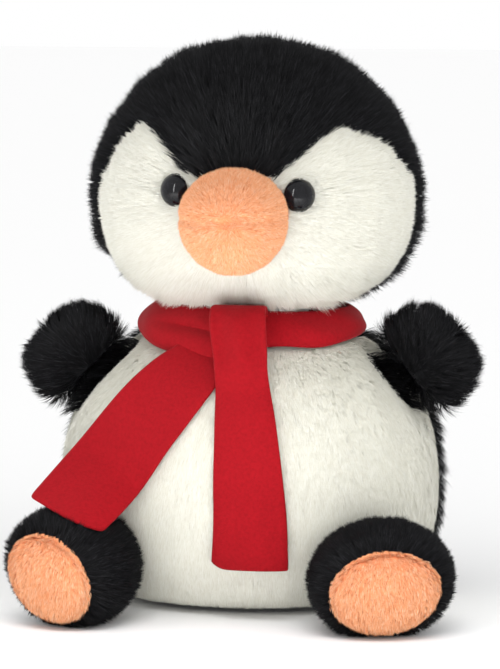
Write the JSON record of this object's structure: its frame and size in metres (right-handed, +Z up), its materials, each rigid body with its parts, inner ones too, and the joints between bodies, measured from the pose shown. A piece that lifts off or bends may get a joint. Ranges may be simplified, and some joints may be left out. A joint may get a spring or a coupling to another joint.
{
  "type": "plush penguin",
  "caption": "Soft stuffed penguin that sits on a flat weighted base, with a turning head, short flippers, stubby feet and a tied fleece scarf.",
  "frame": {"origin": "middle of the flat seat, on the surface that the toy sits on", "axes": "+Z up, -Y the way the penguin faces, +X towards the penguin's left side"},
  "size_m": [0.1567, 0.1436, 0.1925],
  "materials": {
    "black_fur": "long soft pile",
    "white_fur": "soft pile",
    "orange_plush": "short pile",
    "scarf_fleece": "brushed felt",
    "filling": "loose fibre",
    "pouch_cloth": "plain weave",
    "eye_plastic": "polished",
    "washer_plastic": "moulded"
  },
  "bodies": {
    "torso": {"belly_panel": "white_fur", "back_panel_left": "black_fur", "back_panel_right": "black_fur", "base_panel": "black_fur", "body_stuffing": "filling", "pellet_pouch": "pouch_cloth", "scarf_band": "scarf_fleece", "scarf_knot": "scarf_fleece"},
    "neck": {"neck_stuffing": "filling"},
    "head": {"head_hood_left": "black_fur", "head_hood_right": "black_fur", "head_gusset": "black_fur", "face_panel_left": "white_fur", "face_panel_right": "white_fur", "head_base_panel": "black_fur", "head_stuffing": "filling", "beak_upper": "orange_plush", "beak_lower": "orange_plush", "beak_stuffing": "filling", "eye_left": "eye_plastic", "eye_right": "eye_plastic", "eye_washer_left": "washer_plastic", "eye_washer_right": "washer_plastic"},
    "flipper_left": {"flipper_left_front": "black_fur", "flipper_left_back": "black_fur", "flipper_left_stuffing": "filling"},
    "flipper_right": {"flipper_right_front": "black_fur", "flipper_right_back": "black_fur", "flipper_right_stuffing": "filling"},
    "foot_left": {"foot_left_upper": "black_fur", "foot_left_sole": "orange_plush", "foot_left_stuffing": "filling"},
    "foot_right": {"foot_right_upper": "black_fur", "foot_right_sole": "orange_plush", "foot_right_stuffing": "filling"},
    "tail_front": {"scarf_tail_front": "scarf_fleece"},
    "tail_side": {"scarf_tail_side": "scarf_fleece"}
  },
  "joints": [
    {"name": "head_turn", "type": "hinge", "parent": "torso", "child": "neck", "pos_m": [0, 0, 0.088], "axis": [0, 0, 1], "range_deg": [-20, 20]},
    {"name": "head_nod", "type": "hinge", "parent": "neck", "child": "head", "pos_m": [0, 0, 0.088], "axis": [1, 0, 0], "range_deg": [-6, 5]},
    {"name": "flipper_left_flap", "type": "hinge", "parent": "torso", "child": "flipper_left", "pos_m": [0.05484, -0.012, 0.0804], "axis": [0.6389, 0, -0.7693], "range_deg": [-20, 25]},
    {"name": "flipper_right_flap", "type": "hinge", "parent": "torso", "child": "flipper_right", "pos_m": [-0.05685, -0.012, 0.0794], "axis": [0.6939, 0, 0.7201], "range_deg": [-20, 25]},
    {"name": "foot_left_flex", "type": "hinge", "parent": "torso", "child": "foot_left", "pos_m": [0.04665, -0.04084, 0.02134], "axis": [-0.9744, -0.225, 0], "range_deg": [-10, 4]},
    {"name": "foot_right_flex", "type": "hinge", "parent": "torso", "child": "foot_right", "pos_m": [-0.0436, -0.04196, 0.02284], "axis": [-0.9272, 0.3746, 0], "range_deg": [-10, 4]},
    {"name": "tail_front_lift", "type": "hinge", "parent": "torso", "child": "tail_front", "pos_m": [0.0027, -0.0509, 0.0855], "axis": [-1, 0, 0], "range_deg": [0, 60]},
    {"name": "tail_side_lift", "type": "hinge", "parent": "torso", "child": "tail_side", "pos_m": [-0.0162, -0.04415, 0.08493], "axis": [-0.9332, 0.3503, 0.0797], "range_deg": [0, 50]}
  ]
}
